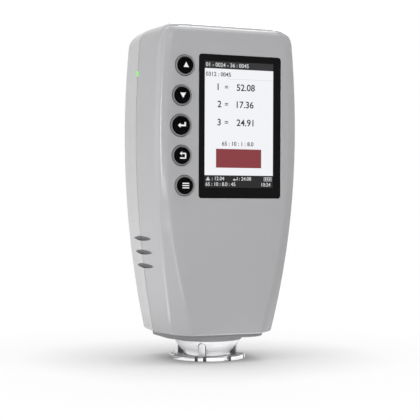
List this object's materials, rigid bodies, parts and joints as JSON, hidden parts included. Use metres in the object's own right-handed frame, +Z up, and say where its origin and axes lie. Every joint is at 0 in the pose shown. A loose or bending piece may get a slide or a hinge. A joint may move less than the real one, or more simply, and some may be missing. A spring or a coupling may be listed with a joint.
{
  "type": "portable colorimeter",
  "caption": "Hand-held portable colorimeter with a colour screen, a column of round keys and a measuring nose, standing on a clip-on steel locating plate.",
  "frame": {"origin": "on the floor, under the middle of the instrument's bounding box", "axes": "+Z up, +X to the instrument's right-hand side seen from the screen, -Y the screen and keys"},
  "size_m": [0.088, 0.0604, 0.1875],
  "materials": {
    "body_grey": "fine moulded texture, satin",
    "body_light_grey": "fine moulded texture, satin",
    "collar_grey": "satin",
    "dark_plastic": "satin",
    "white_resin": "smooth",
    "black_plastic": "matt",
    "key_rubber": "soft gloss",
    "screen_glass": "polished",
    "display": "lit colour display",
    "green_light": "lit light pipe",
    "circuit_board": "solder mask",
    "sphere_white": "matt white coating",
    "battery_wrap": "shrink wrap",
    "aluminium": "machined",
    "screw_steel": "plated",
    "polished_steel": "polished"
  },
  "bodies": {
    "root": {"front_shell": "body_grey", "rear_shell": "body_light_grey", "screen_window": "screen_glass", "display_panel": "display", "display_frame": "black_plastic", "key_board": "circuit_board", "main_board": "circuit_board", "board_screw_upper_left": "screw_steel", "board_screw_upper_right": "screw_steel", "board_screw_lower_left": "screw_steel", "board_screw_lower_right": "screw_steel", "buzzer": "black_plastic", "processor_shield": "aluminium", "test_switch": "black_plastic", "power_switch": "black_plastic", "usb_port": "aluminium", "status_light": "green_light", "battery_tray": "black_plastic", "battery_pack": "battery_wrap", "battery_cover": "body_light_grey", "cover_screw": "screw_steel", "shell_screw_upper_left": "screw_steel", "shell_screw_upper_right": "screw_steel", "shell_screw_lower_left": "screw_steel", "shell_screw_lower_right": "screw_steel", "base_plate": "dark_plastic", "optics_chassis": "aluminium", "base_screw_front_left": "screw_steel", "base_screw_front_right": "screw_steel", "base_screw_rear_left": "screw_steel", "base_screw_rear_right": "screw_steel", "sphere_lower_half": "sphere_white", "sphere_upper_half": "sphere_white", "light_source_board": "circuit_board", "detector_tube": "aluminium", "detector_module": "black_plastic", "nose_collar": "collar_grey", "nose_cone": "white_resin", "aperture_ring": "black_plastic", "locating_plate": "polished_steel"},
    "up_key": {"button_up": "key_rubber"},
    "down_key": {"button_down": "key_rubber"},
    "enter_key": {"button_enter": "key_rubber"},
    "back_key": {"button_back": "key_rubber"},
    "menu_key": {"button_menu": "key_rubber"},
    "test_trigger": {"test_button": "key_rubber"},
    "power_slider": {"power_knob": "key_rubber"}
  },
  "joints": [
    {"name": "up_key_press", "type": "slide", "parent": "root", "child": "up_key", "axis": [0, 1, 0], "range_m": [0, 0.001], "stiffness_N_per_m": 1500},
    {"name": "down_key_press", "type": "slide", "parent": "root", "child": "down_key", "axis": [0, 1, 0], "range_m": [0, 0.001], "stiffness_N_per_m": 1500},
    {"name": "enter_key_press", "type": "slide", "parent": "root", "child": "enter_key", "axis": [0, 1, 0], "range_m": [0, 0.001], "stiffness_N_per_m": 1500},
    {"name": "back_key_press", "type": "slide", "parent": "root", "child": "back_key", "axis": [0, 1, 0], "range_m": [0, 0.001], "stiffness_N_per_m": 1500},
    {"name": "menu_key_press", "type": "slide", "parent": "root", "child": "menu_key", "axis": [0, 1, 0], "range_m": [0, 0.001], "stiffness_N_per_m": 1500},
    {"name": "test_button_press", "type": "slide", "parent": "root", "child": "test_trigger", "axis": [-1, 0, 0], "range_m": [0, 0.0012], "stiffness_N_per_m": 2000},
    {"name": "power_slide", "type": "slide", "parent": "root", "child": "power_slider", "axis": [0, 0, 1], "range_m": [0, 0.004]}
  ]
}
